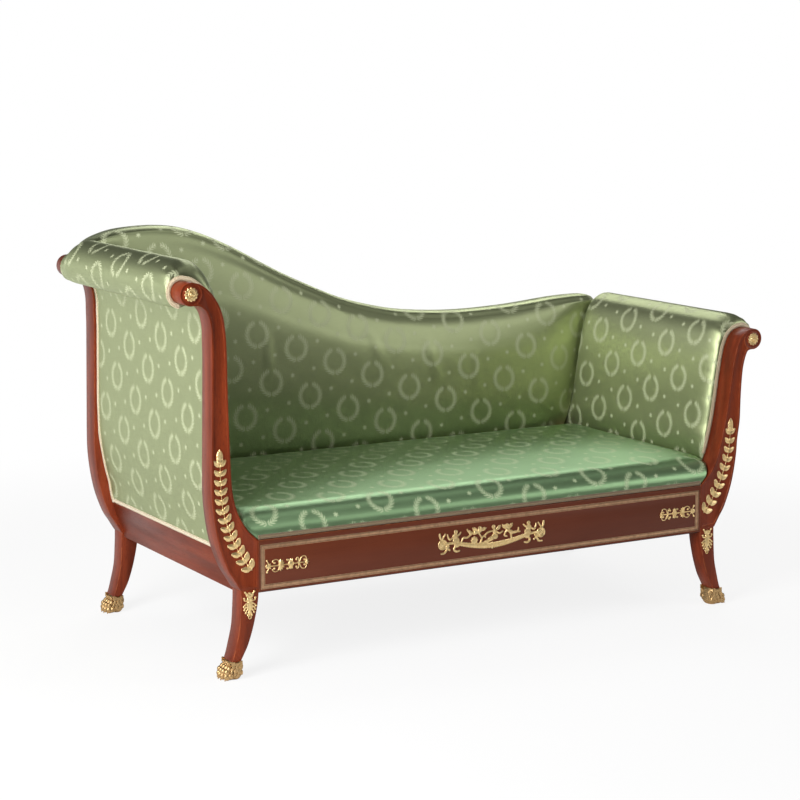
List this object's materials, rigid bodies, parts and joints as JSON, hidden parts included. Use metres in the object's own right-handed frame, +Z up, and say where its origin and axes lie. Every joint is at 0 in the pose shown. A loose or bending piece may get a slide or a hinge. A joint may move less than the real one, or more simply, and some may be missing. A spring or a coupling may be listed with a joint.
{
  "type": "recamier",
  "caption": "Scroll-end daybed sofa with one high and one low rolled arm, a serpentine back, sabre legs on paw feet and gilt mounts.",
  "frame": {"origin": "on the floor, under the middle of the sofa's outline", "axes": "+Z up, +X along the seat towards the low arm, +Y from the front towards the back"},
  "size_m": [1.562, 0.709, 0.9291],
  "materials": {
    "mahogany": "French-polished red-brown mahogany",
    "beech": "plain beech",
    "gilt": "fire-gilt bronze",
    "aged_gilt": "worn gilding on bronze",
    "inlay_brass": "satin brass",
    "silk": "green silk satin damask",
    "seat_silk": "deep green silk satin damask",
    "gimp": "woven cream and gold braid",
    "webbing": "jute",
    "spring_steel": "drawn wire",
    "dust_cloth": "black cotton"
  },
  "bodies": {
    "root": {"front_rail": "mahogany", "back_rail": "mahogany", "high_end_rail": "mahogany", "low_end_rail": "mahogany", "high_front_standard": "mahogany", "high_back_standard": "mahogany", "low_front_standard": "mahogany", "low_back_standard": "mahogany", "high_front_leg": "mahogany", "high_back_leg": "mahogany", "low_front_leg": "mahogany", "low_back_leg": "mahogany", "high_front_paw": "aged_gilt", "high_back_paw": "aged_gilt", "low_front_paw": "aged_gilt", "low_back_paw": "aged_gilt", "corner_blocks": "beech", "rail_inlay": "inlay_brass", "high_arm_roller": "beech", "low_arm_roller": "beech", "high_arm_tacking_rail": "beech", "low_arm_tacking_rail": "beech", "back_top_rail": "beech", "back_uprights": "beech", "back_tacking_rail": "beech", "seat_cross_webbing": "webbing", "seat_long_webbing": "webbing", "seat_springs": "spring_steel", "seat_hessian": "webbing", "dust_cover": "dust_cloth", "high_arm_webbing": "webbing", "low_arm_webbing": "webbing", "back_webbing": "webbing", "seat_cushion": "seat_silk", "back_upholstery": "silk", "high_arm_upholstery": "silk", "low_arm_upholstery": "silk", "high_arm_outer_cover": "silk", "low_arm_outer_cover": "silk", "outside_back_cover": "silk", "seat_gimp": "gimp", "high_arm_gimp": "gimp", "low_arm_gimp": "gimp", "back_gimp": "gimp", "high_rosette": "gilt", "low_rosette": "gilt", "high_laurel_mount": "gilt", "low_laurel_mount": "gilt", "high_palmette_mount": "gilt", "low_palmette_mount": "gilt", "high_side_mount": "gilt", "low_side_mount": "gilt", "centre_mount": "gilt"}
  },
  "joints": []
}
